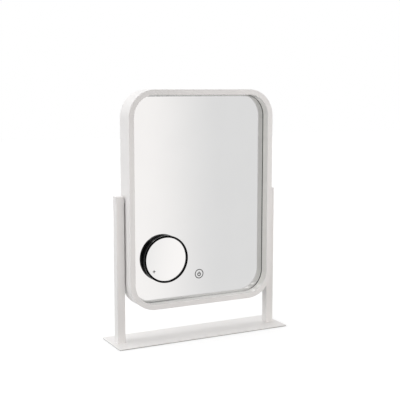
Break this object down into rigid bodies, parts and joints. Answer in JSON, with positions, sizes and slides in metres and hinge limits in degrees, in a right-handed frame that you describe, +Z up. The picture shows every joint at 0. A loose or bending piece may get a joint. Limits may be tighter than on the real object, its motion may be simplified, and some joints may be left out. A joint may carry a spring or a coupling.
{
  "type": "lighted makeup mirror",
  "caption": "Tall tabletop makeup mirror with round corners, a recessed light ring and a touch key. It tilts between two posts on a flat base and carries a pull-off magnifier.",
  "frame": {"origin": "on the table, under the middle of the base", "axes": "+X to the viewer's right along the tilt axis, the mirror faces -Y, +Z up"},
  "size_m": [0.3592, 0.0888, 0.4718],
  "materials": {
    "white_steel": "satin white powder coat",
    "white_cap": "satin white moulding",
    "white_frame": "satin white moulding",
    "white_cover": "fine textured white moulding",
    "milky_diffuser": "glossy milky acrylic",
    "silver_mirror": "silvered glass",
    "gasket_rubber": "matt dark strip",
    "foot_foam": "fine grey foam",
    "black_gloss": "polished black moulding",
    "clear_rubber": "clear soft plastic",
    "grey_foam": "closed-cell foam",
    "tray_plastic": "plain moulding",
    "mark_print": "thin grey print",
    "steel": "plated steel",
    "block_alloy": "sawn alloy",
    "bearing_plastic": "smooth white acetal",
    "brass": "bright foil",
    "jack_plastic": "black moulding",
    "board_green": "solder mask",
    "component_black": "moulded packages",
    "strip_white": "flexible white strip",
    "led_yellow": "phosphor under resin",
    "wire_red": "insulation",
    "wire_white": "insulation"
  },
  "bodies": {
    "stand": {"base_plate": "white_steel", "base_pad": "foot_foam", "post_screws": "steel", "left_post": "white_steel", "right_post": "white_steel", "left_post_cap": "white_cap", "right_post_cap": "white_cap", "left_foot_block": "block_alloy", "right_foot_block": "block_alloy", "left_pivot_block": "block_alloy", "right_pivot_block": "block_alloy", "left_pivot_shaft": "steel", "right_pivot_shaft": "steel", "pivot_spacers": "bearing_plastic", "friction_washers": "bearing_plastic", "spring_washers": "steel", "lock_nuts": "steel"},
    "head": {"head_frame": "white_frame", "rear_cover": "white_cover", "light_diffuser": "milky_diffuser", "mirror_glass": "silver_mirror", "mirror_gasket": "gasket_rubber", "mirror_tape": "grey_foam", "mirror_tray": "tray_plastic", "touch_symbol": "mark_print", "cover_screws": "steel", "plate_screws": "steel", "board_screws": "steel", "left_pivot_plate": "steel", "right_pivot_plate": "steel", "dc_jack_nut": "steel", "left_pivot_bush": "bearing_plastic", "right_pivot_bush": "bearing_plastic", "touch_electrode": "brass", "touch_contact": "brass", "dc_jack": "jack_plastic", "control_board": "board_green", "board_components": "component_black", "led_strip": "strip_white", "led_chips": "led_yellow", "power_wires": "wire_red", "led_wires": "wire_white"},
    "magnifier": {"magnifier_bezel": "black_gloss", "magnifier_housing": "black_gloss", "magnifier_mirror": "silver_mirror", "magnifier_foam": "grey_foam", "suction_cups": "clear_rubber"}
  },
  "joints": [
    {"name": "head_tilt", "type": "hinge", "parent": "stand", "child": "head", "pos_m": [0, 0, 0.268], "axis": [1, 0, 0], "continuous": true},
    {"name": "magnifier_pull", "type": "slide", "parent": "head", "child": "magnifier", "axis": [0, -1, 0], "range_m": [0, 0.06]}
  ]
}
